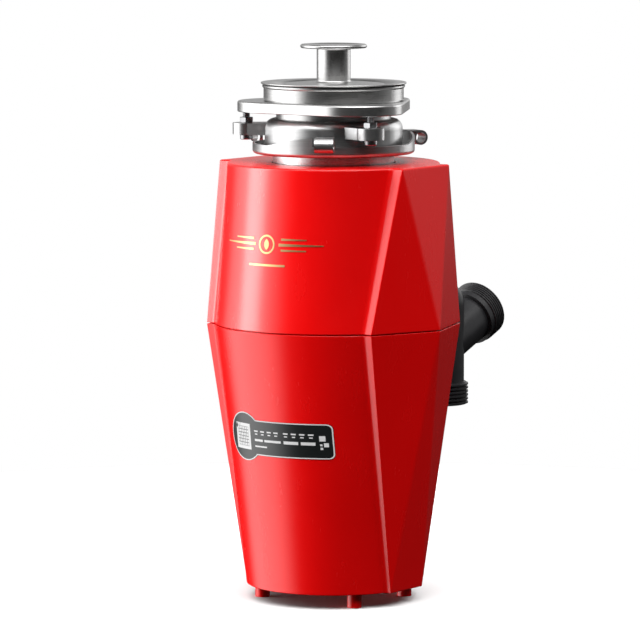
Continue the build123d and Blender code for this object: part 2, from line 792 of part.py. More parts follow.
with BuildPart() as capacitor_bracket:
    with BuildSketch(Plane.XY.offset(150)):
        Circle(57.25)
        with Locations(capacitor_place):
            Circle(13.3)
        Circle(can_outer + 0.05, mode=Mode.SUBTRACT)
        with Locations(capacitor_place):
            Circle(12.05, mode=Mode.SUBTRACT)
    extrude(amount=8)
finish(capacitor_bracket, "capacitor_bracket")

with BuildPart() as terminal_block:
    with Locations((-67.5, 0, 108)):
        Box(22, 24, 34, align=bottom_of)
finish(terminal_block, "terminal_block")

for name, inner, outer, low, high in (
    ("motor_insulation", 66.0, 69.2, 54, 182),
    ("hopper_insulation", 71.0, 78.0, 284, 328),
):
    with BuildPart() as insulation:
        ring(inner, outer, low, high)
        with Locations((0, 0, low)):
            Box(90, 200, high - low, align=bottom_of, mode=Mode.INTERSECT)
    finish(insulation, name)

# ---- discharge and drain -------------------------------------------------------------------------
collar_near_y, collar_far_y = 72.5, 76.0
clamp_far_y = 79.6
thread_root = 22.2
branch_out = Vector(0, cos(radians(branch_tilt)), sin(radians(branch_tilt)))
branch_start = Vector(0, drain_y, branch_z)
branch_across = Plane(origin=branch_start, x_dir=(1, 0, 0), z_dir=branch_out)
branch_side = Plane(origin=branch_start, x_dir=(1, 0, 0), z_dir=(0, -branch_out.Z, branch_out.Y))
branch_pipe_end = 45.3
branch_thread_start = 50.5


def thread_points(start, count, pitch):
    """The crests of a pipe thread as (radius, place along the axis) points."""
    points = []
    for turn in range(count):
        foot = start + turn * pitch
        points.append((thread_root, foot))
        points.append((thread_radius, foot + 0.25 * pitch))
        points.append((thread_radius, foot + 0.65 * pitch))
        points.append((thread_root, foot + 0.9 * pitch))
    return points


with BuildPart() as discharge_gasket:
    with BuildSketch(drain_plane(outlet_face_y)):
        Circle(collar_radius)
        Circle(pipe_bore, mode=Mode.SUBTRACT)
    extrude(amount=collar_near_y - outlet_face_y)
finish(discharge_gasket, "discharge_gasket")

with BuildPart() as discharge_flange:
    clamp_outline = drain_flange_outline(drain_plane(collar_far_y), pipe_radius + 0.2)
    extrude(clamp_outline, amount=clamp_far_y - collar_far_y)
finish(discharge_flange, "discharge_flange")

with BuildPart() as discharge_screws:
    for x in (-flange_bolt_x, flange_bolt_x):
        along_y(x, outlet_z, 2.5, 62, clamp_far_y)
        along_y(x, outlet_z, 4.2, clamp_far_y, clamp_far_y + 3)
finish(discharge_screws, "discharge_screws")

with BuildPart() as drain_elbow:
    along_y(0, outlet_z, pipe_radius, collar_near_y, drain_y)
    along_y(0, outlet_z, collar_radius, collar_near_y, collar_far_y)
    with Locations((0, drain_y, outlet_z)):
        Sphere(pipe_radius)
    posts([(0, drain_y)], pipe_radius, drain_bottom_z + thread_length, outlet_z)
    with BuildSketch(Plane(origin=(0, drain_y, drain_bottom_z), x_dir=(1, 0, 0), z_dir=(0, -1, 0))):
        with BuildLine():
            Polyline(
                (0, 0),
                *thread_points(0, 6, thread_length / 6),
                (thread_root, thread_length),
                (0, thread_length),
                close=True,
            )
        make_face()
    revolve(axis=Axis((0, drain_y, 0), (0, 0, 1)))
    with BuildSketch(branch_across):
        Circle(branch_radius)
    extrude(amount=branch_pipe_end)
    along_y(0, outlet_z, pipe_bore, collar_near_y - 1, drain_y, mode=Mode.SUBTRACT)
    with Locations((0, drain_y, outlet_z)):
        Sphere(pipe_bore, mode=Mode.SUBTRACT)
    posts([(0, drain_y)], pipe_bore, drain_bottom_z - 1, outlet_z, mode=Mode.SUBTRACT)
    with BuildSketch(branch_across):
        Circle(pipe_bore)
    extrude(amount=branch_pipe_end + 1, mode=Mode.SUBTRACT)
finish(drain_elbow, "drain_elbow")

with BuildPart() as branch_adapter:
    with BuildSketch(branch_side):
        with BuildLine():
            Polyline(
                (14.5, 36),
                (pipe_bore - 0.05, 36),
                (pipe_bore - 0.05, branch_pipe_end + 0.05),
                (22.9, branch_pipe_end + 0.05),
                (22.9, branch_thread_start),
                *thread_points(branch_thread_start, 6, (branch_length - branch_thread_start) / 6),
                (thread_root, branch_length),
                (19.0, branch_length),
                (19.0, branch_thread_start),
                (14.5, branch_thread_start - 4),
                close=True,
            )
        make_face()
    revolve(axis=Axis(branch_start, branch_out))
finish(branch_adapter, "branch_adapter")

# ---- export --------------------------------------------------------------------------------------
os.makedirs("parts", exist_ok=True)
for name, piece in finished.items():
    export_step(piece, f"parts/{name}.step")
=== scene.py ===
"""Looks of the kitchen waste disposer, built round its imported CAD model. Metres, in the CAD frame."""

import json
import math

import bmesh
import bpy
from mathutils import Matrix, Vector
from mathutils.bvhtree import BVHTree


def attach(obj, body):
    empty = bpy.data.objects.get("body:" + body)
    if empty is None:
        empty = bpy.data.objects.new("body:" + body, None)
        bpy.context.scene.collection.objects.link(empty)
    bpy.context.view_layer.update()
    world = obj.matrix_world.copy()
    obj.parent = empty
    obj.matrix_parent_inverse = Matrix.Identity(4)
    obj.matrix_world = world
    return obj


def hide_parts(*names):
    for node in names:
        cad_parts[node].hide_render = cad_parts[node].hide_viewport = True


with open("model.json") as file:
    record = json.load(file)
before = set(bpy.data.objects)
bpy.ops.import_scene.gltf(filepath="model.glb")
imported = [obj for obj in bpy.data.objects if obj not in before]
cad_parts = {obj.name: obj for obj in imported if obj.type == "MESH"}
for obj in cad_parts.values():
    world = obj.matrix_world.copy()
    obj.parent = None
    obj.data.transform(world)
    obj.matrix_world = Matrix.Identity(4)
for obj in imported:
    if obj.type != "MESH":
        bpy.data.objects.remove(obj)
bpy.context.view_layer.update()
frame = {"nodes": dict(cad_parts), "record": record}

nodes = frame["nodes"]
MM = 0.001  # the shapes below are written in millimetres

# ---- camera: to the right of the front panel, looking slightly down -----------------------------
CAMERA_TURN = 35.71  # where it stands, in degrees about Z from the front
CAMERA_DISTANCE = 3.4668
CAMERA_HEIGHT = 0.5949
CAMERA_AIM_TURN = 35.886
CAMERA_PITCH = 6.183
CAMERA_LENS = 249.67
CAMERA_SENSOR = 36
CAMERA_REACH = 50


def direction(turn, pitch):
    """The way the camera looks, for its turn about Z and its downward pitch in degrees."""
    turn = math.radians(turn)
    pitch = math.radians(pitch)
    flat = math.cos(pitch)
    return Vector((-math.sin(turn) * flat, math.cos(turn) * flat, -math.sin(pitch)))


def make_camera():
    data = bpy.data.cameras.new("camera")
    data.lens = CAMERA_LENS
    data.sensor_width = CAMERA_SENSOR
    data.clip_end = CAMERA_REACH
    camera = bpy.data.objects.new("camera", data)
    turn = math.radians(CAMERA_TURN)
    away = CAMERA_DISTANCE
    camera.location = (away * math.sin(turn), -away * math.cos(turn), CAMERA_HEIGHT)
    aim = direction(CAMERA_AIM_TURN, CAMERA_PITCH)
    camera.rotation_mode = "QUATERNION"
    camera.rotation_quaternion = aim.to_track_quat("-Z", "Y")
    bpy.context.collection.objects.link(camera)
    bpy.context.scene.camera = camera


# ---- materials ----------------------------------------------------------------------------------
class Nodes:
    """A node tree, with short calls for the nodes that the finishes and the sky use."""

    def __init__(self, tree):
        self.tree = tree

    def plug(self, socket, value):
        """Link a socket to another one, or set it to a plain value."""
        if isinstance(value, bpy.types.NodeSocket):
            self.tree.links.new(value, socket)
        else:
            socket.default_value = value

    def add(self, kind, **inputs):
        node = self.tree.nodes.new(kind)
        for key, value in inputs.items():
            self.plug(node.inputs[key.replace("_", " ")], value)
        return node

    def math(self, operation, a, b=0.0):
        node = self.tree.nodes.new("ShaderNodeMath")
        node.operation = operation
        self.plug(node.inputs[0], a)
        self.plug(node.inputs[1], b)
        return node.outputs[0]

    def place(self):
        """The point on the object, in metres, in the CAD frame."""
        return self.add("ShaderNodeTexCoord").outputs["Object"]

    def stretch(self, vector, scale):
        return self.add("ShaderNodeMapping", Vector=vector, Scale=scale).outputs["Vector"]

    def noise(self, vector, scale, detail=3.0, roughness=0.5):
        node = self.add(
            "ShaderNodeTexNoise", Vector=vector, Scale=scale, Detail=detail, Roughness=roughness
        )
        return node.outputs["Fac"]

    def ramp(self, value, low, high, bottom=0.0, top=1.0, soft=False):
        """Map value from low..high to bottom..top, clamped, with eased ends when soft."""
        node = self.add(
            "ShaderNodeMapRange",
            Value=value, From_Min=low, From_Max=high, To_Min=bottom, To_Max=top,
        )
        if soft:
            node.interpolation_type = "SMOOTHSTEP"
        return node.outputs["Result"]

    def blend(self, value, dark, light):
        """A colour between two, by value."""
        node = self.tree.nodes.new("ShaderNodeMix")
        node.data_type = "RGBA"
        self.plug(node.inputs["Factor"], value)
        self.plug(node.inputs["A"], (*dark, 1))
        self.plug(node.inputs["B"], (*light, 1))
        return node.outputs["Result"]


class Finish(Nodes):
    """A new material, with its node tree and shader."""

    def __init__(self, name):
        self.material = bpy.data.materials.new(name)
        self.material.use_nodes = True
        super().__init__(self.material.node_tree)
        self.shader = self.tree.nodes["Principled BSDF"]

    def bump(self, height, strength, distance):
        node = self.add("ShaderNodeBump", Height=height, Strength=strength, Distance=distance)
        self.plug(self.shader.inputs["Normal"], node.outputs["Normal"])

    def set(self, **values):
        for key, value in values.items():
            self.plug(self.shader.inputs[key.replace("_", " ")], value)


def gloss_plastic(name, dark, light, roughness, grain=0.02):
    """Moulded plastic: faint mottling, fine orange peel, handling smears and hairline scratches."""
    n = Finish(name)
    spot = n.place()
    mottle = n.ramp(n.noise(spot, scale=18), low=0.35, high=0.65)
    n.set(Base_Color=n.blend(mottle, dark, light))
    smear = n.noise(n.stretch(spot, (1, 1, 0.35)), scale=60, detail=5, roughness=0.6)
    scratch = n.noise(n.stretch(spot, (30, 30, 1)), scale=45, detail=6, roughness=0.7)
    worn = n.ramp(scratch, low=0.6, high=0.8, top=0.02)
    smeared = n.ramp(smear, low=0.3, high=0.7, bottom=roughness * 0.94, top=roughness * 1.08)
    n.set(Roughness=n.math("ADD", smeared, worn))
    n.bump(n.noise(spot, scale=1400, detail=2), grain, distance=0.0001)
    n.set(IOR=1.5)
    return n.material


GRAIN_RUN = 0.0004  # metres that the turned grain's pattern moves per radian round the axis
BAND_WIDTH = 0.22  # scale of the broad bands, as a share of the fine lines' scale


def turned_metal(name, colour, roughness, grain, scale=9000.0, brushed=0.5):
    """Metal turned on a lathe: the grain runs round the rotor axis, with dull spots from handling."""
    n = Finish(name)
    spot = n.place()
    x, y, z = n.add("ShaderNodeSeparateXYZ", Vector=spot).outputs
    radius = n.math("SQRT", n.math("ADD", n.math("MULTIPLY", x, x), n.math("MULTIPLY", y, y)))
    run = n.math("MULTIPLY", n.math("ARCTAN2", y, x), GRAIN_RUN)
    turned = n.add("ShaderNodeCombineXYZ", X=radius, Y=run, Z=z).outputs[0]
    lines = n.noise(turned, scale, detail=4, roughness=0.6)
    bands = n.noise(turned, scale * BAND_WIDTH, detail=5, roughness=0.7)
    broad = n.noise(spot, scale=25)
    dull = n.ramp(n.noise(spot, scale=90, detail=4, roughness=0.6), low=0.55, high=0.75, top=0.08)
    broad_shade = n.ramp(broad, low=0.3, high=0.7, bottom=0.6)
    band_shade = n.ramp(bands, low=0.35, high=0.6, bottom=0.4)
    shade = n.math("MULTIPLY", broad_shade, band_shade)
    n.set(Metallic=1.0, Anisotropic=brushed)
    n.set(Base_Color=n.blend(shade, [c * 0.72 for c in colour], colour))
    lined = n.ramp(lines, low=0.3, high=0.7, bottom=roughness * 0.8, top=roughness * 1.2)
    n.set(Roughness=n.math("ADD", lined, dull))
    tangent = n.add("ShaderNodeTangent")
    tangent.direction_type = "RADIAL"
    tangent.axis = "Z"
    n.set(Tangent=tangent.outputs[0])
    n.bump(lines, grain, distance=0.0002)
    return n.material


def cast_metal(name, colour, roughness, grain):
    """Cast or plated metal with a fine random texture and darker stains."""
    n = Finish(name)
    spot = n.place()
    n.set(Metallic=1.0)
    stain = n.ramp(n.noise(spot, scale=40), low=0.3, high=0.7)
    n.set(Base_Color=n.blend(stain, [c * 0.75 for c in colour], colour))
    patches = n.noise(spot, scale=220, detail=4)
    n.set(Roughness=n.ramp(patches, 0.3, 0.7, roughness * 0.8, roughness * 1.25))
    n.bump(n.noise(spot, scale=700), grain, distance=0.0003)
    return n.material


def soft_black(name, colour, roughness, grain, scale=1500.0):
    """Rubber or matte moulded plastic, with dusty patches and a leathery grain."""
    n = Finish(name)
    spot = n.place()
    dust = n.ramp(n.noise(spot, scale=60, detail=5, roughness=0.6), low=0.3, high=0.7)
    n.set(Base_Color=n.blend(dust, [c * 0.7 for c in colour], colour))
    patches = n.noise(spot, scale=150, detail=4)
    n.set(Roughness=n.ramp(patches, 0.3, 0.7, roughness * 0.85, roughness * 1.15))
    n.bump(n.noise(spot, scale), grain, distance=0.0003)
    return n.material


# One finish for each material slot: colour or (dark, light) colours, roughness, then bump strength.
RED_DARK, RED_LIGHT = (0.72, 0.0005, 0.0006), (0.75, 0.0008, 0.001)
LABEL_DARK, LABEL_LIGHT = (0.008, 0.010, 0.010), (0.012, 0.014, 0.014)
BUTTON_DARK, BUTTON_LIGHT = (0.5, 0.01, 0.01), (0.55, 0.015, 0.012)
PRINT_DARK, PRINT_LIGHT = (0.80, 0.80, 0.80), (0.88, 0.88, 0.88)
FINISHES = {
    "cover_red": gloss_plastic("cover_red", RED_DARK, RED_LIGHT, 0.26, 0.004),
    "stainless": turned_metal("stainless", (0.60, 0.597, 0.592), 0.31, 0.08, brushed=0.0),
    "cast_steel": turned_metal("cast_steel", (0.60, 0.60, 0.60), 0.33, 0.08, brushed=0.0),
    "zinc_fastener": cast_metal("zinc_fastener", (0.42, 0.42, 0.43), 0.3, 0.08),
    "black_rubber": soft_black("black_rubber", (0.02, 0.02, 0.02), 0.6, 0.1),
    "chamber_steel": turned_metal("chamber_steel", (0.66, 0.66, 0.66), 0.28, 0.05),
    "cast_aluminium": cast_metal("cast_aluminium", (0.6, 0.6, 0.61), 0.5, 0.25),
    "drain_black": soft_black("drain_black", (0.02, 0.02, 0.022), 0.36, 0.06),
    "label_black": gloss_plastic("label_black", LABEL_DARK, LABEL_LIGHT, 0.3),
    "emblem_gold": turned_metal("emblem_gold", (0.50, 0.33, 0.15), 0.42, 0.02, brushed=0.0),
    "motor_steel": turned_metal("motor_steel", (0.5, 0.5, 0.51), 0.35, 0.08),
    "lamination": turned_metal("lamination", (0.32, 0.32, 0.34), 0.45, 0.3, 2500.0),
    "copper": turned_metal("copper", (0.72, 0.32, 0.13), 0.4, 0.5, 1800.0),
    "dark_plastic": soft_black("dark_plastic", (0.045, 0.045, 0.05), 0.45, 0.08),
    "button_red": gloss_plastic("button_red", BUTTON_DARK, BUTTON_LIGHT, 0.35),
    "foam": soft_black("foam", (0.12, 0.12, 0.13), 0.9, 0.8, 600.0),
}
PRINT_WHITE = gloss_plastic("print_white", PRINT_DARK, PRINT_LIGHT, 0.45)


def dress_cad():
    """Give every CAD node the finish of its material slot."""
    for part in frame["record"]["subparts"]:
        mesh = nodes[part["node"]].data
        mesh.materials.clear()
        mesh.materials.append(FINISHES[part["material_slot"]])


# ---- mesh helpers -------------------------------------------------------------------------------
MERGE_DISTANCE = 1e-7
FACE_WEIGHT = 90


def make_mesh(name, points, faces):
    """A mesh from points in millimetres."""
    mesh = bpy.data.meshes.new(name)
    mesh.from_pydata([Vector(p) * MM for p in points], [], faces)
    return mesh


def bake_modifiers(piece, name):
    """Put the mesh that the piece's modifiers make in place of its own."""
    bpy.context.view_layer.update()
    seen = piece.evaluated_get(bpy.context.evaluated_depsgraph_get())
    baked = bpy.data.meshes.new_from_object(seen)
    before = piece.data
    piece.modifiers.clear()
    piece.data = baked
    bpy.data.meshes.remove(before)
    baked.name = name
    return baked


def make_piece(name, points, faces, body, slot, material=None, sharp=30.0, cutters=()):
    """A closed mesh from points in millimetres, with its normals weighted by face area."""
    mesh = make_mesh(name, points, faces)
    bm = bmesh.new()
    bm.from_mesh(mesh)
    bmesh.ops.remove_doubles(bm, verts=bm.verts, dist=MERGE_DISTANCE)
    bmesh.ops.recalc_face_normals(bm, faces=bm.faces)
    bm.to_mesh(mesh)
    bm.free()
    mesh.materials.append(material or FINISHES[slot])
    piece = bpy.data.objects.new(name, mesh)
    bpy.context.collection.objects.link(piece)
    for cutter in cutters:
        cut = piece.modifiers.new("cut", "BOOLEAN")
        cut.operation = "DIFFERENCE"
        cut.solver = "EXACT"
        cut.object = cutter
    smooth = bake_modifiers(piece, name)
    smooth.shade_smooth()
    smooth.set_sharp_from_angle(angle=math.radians(sharp))
    weight = piece.modifiers.new("weight", "WEIGHTED_NORMAL")
    weight.keep_sharp = True
    weight.weight = FACE_WEIGHT
    bake_modifiers(piece, name)
    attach(piece, body)
    return piece


def loft_rings(rings, points, faces, closed=True):
    """Join rings of equal length by quads, the last to the first when closed."""
    first = len(points)
    count = len(rings[0])
    for ring in rings:
        points.extend(ring)
    spans = len(rings) if closed else len(rings) - 1
    for level in range(spans):
        low = first + level * count
        high = first + (level + 1) % len(rings) * count
        for i in range(count):
            j = (i + 1) % count
            faces.append((low + i, low + j, high + j, high + i))


def around(steps):
    """Angles evenly spaced round a circle."""
    return [2 * math.pi * i / steps for i in range(steps)]


def polar(centre, radius, angle, z):
    """A point at an angle round a plan place."""
    return (centre[0] + radius * math.cos(angle), centre[1] + radius * math.sin(angle), z)


def turned_rings(profile, centre, steps):
    """Rings of (radius, height) points about a vertical axis at a plan place, for loft_rings."""
    return [[polar(centre, r, a, z) for a in around(steps)] for r, z in profile]


def lerp(a, b, t):
    return a + (b - a) * t


# ---- covers -------------------------------------------------------------------------------------
# Plan of the cover at three levels: (height, panel arc radius, strip distance, corner x).
TOP_PLAN = (343.9, 83.2, 31.6, 87.8)
SEAM_PLAN = (217.4, 93.6, 60.6, 79.1)
BOTTOM_PLAN = (11.5, 68.6, 21.4, 70.1)
SIDE_POINT_X = 101.5
VALLEY_RADIUS = 5.0
WALL = 3.0
SEAM_GAP = 1.0
OUTLET_Z = 219.6
DRAIN_HOLE_RADIUS = 22.0
DRAIN_HOLE_Y = (60, 110)  # reach of the bar that cuts the hole in the back
DRAIN_HOLE_STEPS = 64
NECK_HOLE_RADIUS = 48.6
NECK_CHAMFER = 0.4
TOP_ROUND = 1.6
SEAM_ROUND = 0.45
BOTTOM_ROUND = 0.8
EDGE_ROUND = 2.2  # rounding of the upright facet edges, in plan
ROUND_SHARE = 0.45  # the most of a side that its rounded corner may take
LEAST_WIDTH = 0.02
STRAIGHT_MARGIN = 3  # from each end of a cover to its first straight level
PANEL_STEPS = 48
VALLEY_STEPS = 8
UPPER_LEVELS = 36
LOWER_LEVELS = 48
INNER_LEVELS = 12


def plan_curve(plan, inset):
    """Half of the front outline of one plan, from the panel's middle to the end of the valley."""
    _, arc_radius, strip_y, _ = plan
    centre_y = strip_y + VALLEY_RADIUS
    centre_x = math.sqrt((arc_radius + VALLEY_RADIUS) ** 2 - centre_y**2)
    panel = arc_radius - inset
    valley = VALLEY_RADIUS + inset
    swing = math.atan2(centre_x, centre_y)
    curve = []
    for i in range(PANEL_STEPS + 1):
        a = swing * i / PANEL_STEPS
        curve.append((panel * math.sin(a), panel * math.cos(a)))
    start = math.atan2(-centre_y, -centre_x)
    for i in range(1, VALLEY_STEPS + 1):
        a = lerp(start, -math.pi / 2, i / VALLEY_STEPS)
        curve.append((centre_x + valley * math.cos(a), centre_y + valley * math.sin(a)))
    return curve


def facet(a, b, c, inset):
    """The plane through three points, moved inward, as (outward normal, distance)."""
    normal = (Vector(b) - Vector(a)).cross(Vector(c) - Vector(a)).normalized()
    if normal.x < 0:
        normal = -normal
    return normal, normal.dot(Vector(a)) - inset


def rounded(before, corner, after, steps):
    """Points of an arc-like curve that replaces a corner of an outline."""
    one = Vector(before) - Vector(corner)
    two = Vector(after) - Vector(corner)
    reach = min(EDGE_ROUND, ROUND_SHARE * one.length, ROUND_SHARE * two.length)
    start = Vector(corner) + one.normalized() * reach
    end = Vector(corner) + two.normalized() * reach
    points = []
    for i in range(steps + 1):
        t = i / steps
        p = start * (1 - t) ** 2 + Vector(corner) * 2 * t * (1 - t) + end * t**2
        points.append((p.x, p.y))
    return points


def cover_ring(end_plan, z, inset):
    """The cover's whole outline at one height, shrunk by inset, as a ring of points."""
    end_z, _, end_strip, end_x = end_plan
    seam_z, _, seam_strip, seam_x = SEAM_PLAN
    t = (z - seam_z) / (end_z - seam_z)
    seam_curve = plan_curve(SEAM_PLAN, inset)
    end_curve = plan_curve(end_plan, inset)
    quarter = [(lerp(p[0], q[0], t), lerp(p[1], q[1], t)) for p, q in zip(seam_curve, end_curve)]

    # the two side facets meet the strip at the corner, and each other at the side edge
    side_point = (SIDE_POINT_X, 0, seam_z)
    end_corner = (end_x, end_strip, end_z)
    outer, outer_far = facet(side_point, end_corner, (seam_x, seam_strip, seam_z), inset)
    middle, middle_far = facet(side_point, end_corner, (end_x, -end_strip, end_z), inset)
    strip = lerp(seam_strip, end_strip, t) - inset
    side_x = (middle_far - middle.z * z) / middle.x
    side_y = (outer_far - outer.x * side_x - outer.z * z) / outer.y
    side_y = max(side_y, LEAST_WIDTH)
    corner_x = (outer_far - outer.y * strip - outer.z * z) / outer.x
    corner = (corner_x, strip)
    edge = (side_x, min(side_y, strip - LEAST_WIDTH))

    valley_x = quarter[-1][0]
    quarter += [(lerp(valley_x, corner_x, s), strip) for s in (0.25, 0.5, 0.75)]
    quarter += rounded(quarter[-1], corner, edge, steps=4)
    quarter.append((lerp(corner[0], edge[0], 0.5), lerp(corner[1], edge[1], 0.5)))
    quarter += rounded(quarter[-1], edge, (side_x, -edge[1]), steps=3)
    quarter.append((side_x, 0.0))
    front_right = [(x, -y, z) for x, y in quarter]
    back_right = [(x, y, z) for x, y in reversed(quarter[:-1])]
    right = front_right + back_right
    left = [(-x, y, z) for x, y, z in reversed(right[1:-1])]
    return right + left


def cover_heights(low, high, count):
    return [lerp(low, high, i / count) for i in range(count + 1)]


def rounded_levels(z, radius, steps, upward):
    """(height, inset) pairs that round an edge, up to its face at height z or down to it."""
    levels = []
    for i in range(steps + 1):
        a = math.pi / 2 * i / steps
        drop = radius * (1 - math.sin(a))
        levels.append((z - drop if upward else z + drop, radius * (1 - math.cos(a))))
    return levels if upward else levels[::-1]


def straight_levels(low, high, count):
    """(height, inset) pairs of the plain wall between two rounded edges."""
    heights = cover_heights(low + STRAIGHT_MARGIN, high - STRAIGHT_MARGIN, count)
    return [(z, 0.0) for z in heights]


def hole_ring(outline, radius, z):
    """A circle with one point at the polar angle of each point of the outline."""
    ring = []
    for x, y, _ in outline:
        reach = math.hypot(x, y)
        ring.append((x * radius / reach, y * radius / reach, z))
    return ring


def between(one, two, s):
    return [tuple(lerp(a, b, s) for a, b in zip(p, q)) for p, q in zip(one, two)]


def drain_bar():
    """A plain round bar along Y at the drain's height, to cut the drain hole with."""
    steps = DRAIN_HOLE_STEPS
    radius = DRAIN_HOLE_RADIUS
    points = []
    for y in DRAIN_HOLE_Y:
        for a in around(steps):
            points.append((radius * math.cos(a), y, OUTLET_Z + radius * math.sin(a)))
    faces = [tuple(range(steps - 1, -1, -1)), tuple(range(steps, 2 * steps))]
    for i in range(steps):
        j = (i + 1) % steps
        faces.append((i, j, steps + j, steps + i))
    return bpy.data.objects.new("drain_bar", make_mesh("drain_bar", points, faces))


def make_cover(name, rings):
    """A cover half from its rings, outside then inside, with the drain hole cut out."""
    points = []
    faces = []
    loft_rings(rings, points, faces)
    bar = drain_bar()
    bpy.context.collection.objects.link(bar)
    piece = make_piece(name, points, faces, "housing", "cover_red", cutters=[bar])
    bpy.data.objects.remove(bar)
    return piece


def make_upper_cover():
    low = SEAM_PLAN[0] + SEAM_GAP / 2
    high = TOP_PLAN[0]
    hole = NECK_HOLE_RADIUS
    levels = rounded_levels(low, SEAM_ROUND, 3, upward=False)
    levels += straight_levels(low, high, UPPER_LEVELS)
    levels += rounded_levels(high, TOP_ROUND, 6, upward=True)
    rings = [cover_ring(TOP_PLAN, z, inset) for z, inset in levels]
    hole_top = hole_ring(rings[-1], hole, high)
    rings += [between(rings[-1], hole_top, s) for s in (0.25, 0.5, 0.75)]
    last = rings[-1]
    rings += [hole_ring(last, hole + NECK_CHAMFER, high), hole_ring(last, hole, high - NECK_CHAMFER)]
    inner = [cover_ring(TOP_PLAN, z, WALL) for z in cover_heights(high - WALL, low, INNER_LEVELS)]
    hole_low = hole_ring(inner[0], hole, high - WALL)
    rings += [hole_low, between(hole_low, inner[0], 0.5)] + inner
    piece = make_cover("upper_cover_shell", rings)
    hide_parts("upper_cover")


def make_lower_cover():
    low = BOTTOM_PLAN[0]
    high = SEAM_PLAN[0] - SEAM_GAP / 2
    levels = rounded_levels(low, BOTTOM_ROUND, 4, upward=False)
    levels += straight_levels(low, high, LOWER_LEVELS)
    levels += rounded_levels(high, SEAM_ROUND, 3, upward=True)
    rings = [cover_ring(BOTTOM_PLAN, z, inset) for z, inset in levels]
    rings += [cover_ring(BOTTOM_PLAN, z, WALL) for z in cover_heights(high, low, INNER_LEVELS)]
    piece = make_cover("lower_cover_shell", rings)
    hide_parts("lower_cover")


TONGUE_HALF_GAP = 37.0  # it stops short of the drain flange on both sides
TONGUE_LOWER = (208.0, 212.0)
TONGUE_UPPER = (222.0, 228.0)
TONGUE_WALL = 2.2
TONGUE_BITE = 0.1  # into the lower cover's wall
TONGUE_PLAY = 0.4  # off the upper cover's wall
TONGUE_STEP = 0.05  # half height of the step between the two


def make_tongue():
    """The tongue that closes the seam from inside, with its gap for the drain flange."""
    seam_z = SEAM_PLAN[0]
    bitten = WALL - TONGUE_BITE
    clear = WALL + TONGUE_PLAY
    inside = clear + TONGUE_WALL
    rings = [cover_ring(BOTTOM_PLAN, z, bitten) for z in (*TONGUE_LOWER, seam_z - TONGUE_STEP)]
    rings += [cover_ring(TOP_PLAN, z, clear) for z in (seam_z + TONGUE_STEP, *TONGUE_UPPER)]
    rings += [cover_ring(TOP_PLAN, z, inside) for z in (*reversed(TONGUE_UPPER), seam_z)]
    rings += [cover_ring(BOTTOM_PLAN, z, inside) for z in reversed(TONGUE_LOWER)]

    # the ring's points outside the gap, in order from one side of the gap to the other
    def in_gap(point):
        return point[1] > 0 and abs(point[0]) < TONGUE_HALF_GAP

    keep = [i for i, point in enumerate(rings[0]) if not in_gap(point)]
    start = next(k for k, i in enumerate(keep) if keep[k - 1] != i - 1 and i > 0)
    order = keep[start:] + keep[:start]
    count = len(order)
    levels = range(len(rings))
    points = [ring[i] for ring in rings for i in order]
    faces = []
    for level in levels:
        low = level * count
        high = (level + 1) % len(rings) * count
        for i in range(count - 1):
            faces.append((low + i, low + i + 1, high + i + 1, high + i))
    faces.append(tuple(level * count for level in levels))
    faces.append(tuple(level * count + count - 1 for level in reversed(levels)))
    make_piece("seam_tongue", points, faces, "housing", "cover_red")


BOSS_X = 59.5
BOSS_Y = 14
BOSS_RADIUS, BOSS_BORE = 4.5, 2.0
BOSS_LOW, BOSS_HIGH = 15.2, 34.2


def make_bosses():
    """The four posts inside the lower cover that the base screws go into."""
    profile = [
        (BOSS_RADIUS, BOSS_LOW), (BOSS_RADIUS, BOSS_HIGH), (BOSS_BORE, BOSS_HIGH), (BOSS_BORE, BOSS_LOW)
    ]
    points = []
    faces = []
    for x in (-BOSS_X, BOSS_X):
        for y in (-BOSS_Y, BOSS_Y):
            loft_rings(turned_rings(profile, (x, y), 32), points, faces)
    make_piece("base_screw_bosses", points, faces, "housing", "cover_red")


# ---- mount screws and nuts ----------------------------------------------------------------------
EAR_RADIUS = 68.7
EAR_ANGLES = (-30, 90, 210)
SCREW_RADIUS = 2.9
SCREW_ROOT = 2.35
SCREW_PITCH = 1.0
SCREW_LOW, SCREW_HIGH = 361.0, 383.25
SCREW_HEAD_RADIUS = 5.0
SCREW_HEAD_HIGH = 364.7
SCREW_STEPS = 32
SCREW_TIP = 0.2  # height of the blunt end above the thread
SCREW_POLE = 0.3  # radius of the small face in the middle of each end
THREAD_ROWS = 8  # per turn
THREAD_FLAT = 1.25  # above 1, the ridge gets a flat crest
THREAD_FADE_HIGH, THREAD_FADE_LOW = 1.2, 0.6
NUT_LOW, NUT_HIGH = 374.3, 378.6
NUT_FLAT = 5.6 * math.cos(math.pi / 6)
NUT_PLAY = 0.1
NUT_TURNED = 0.97  # radius of the turned-off end face, as a share of the half width
NUT_SLOPE = 0.55
NUT_STEPS = 72


def ear_places():
    places = [math.radians(a) for a in EAR_ANGLES]
    return [(EAR_RADIUS * math.cos(a), EAR_RADIUS * math.sin(a)) for a in places]


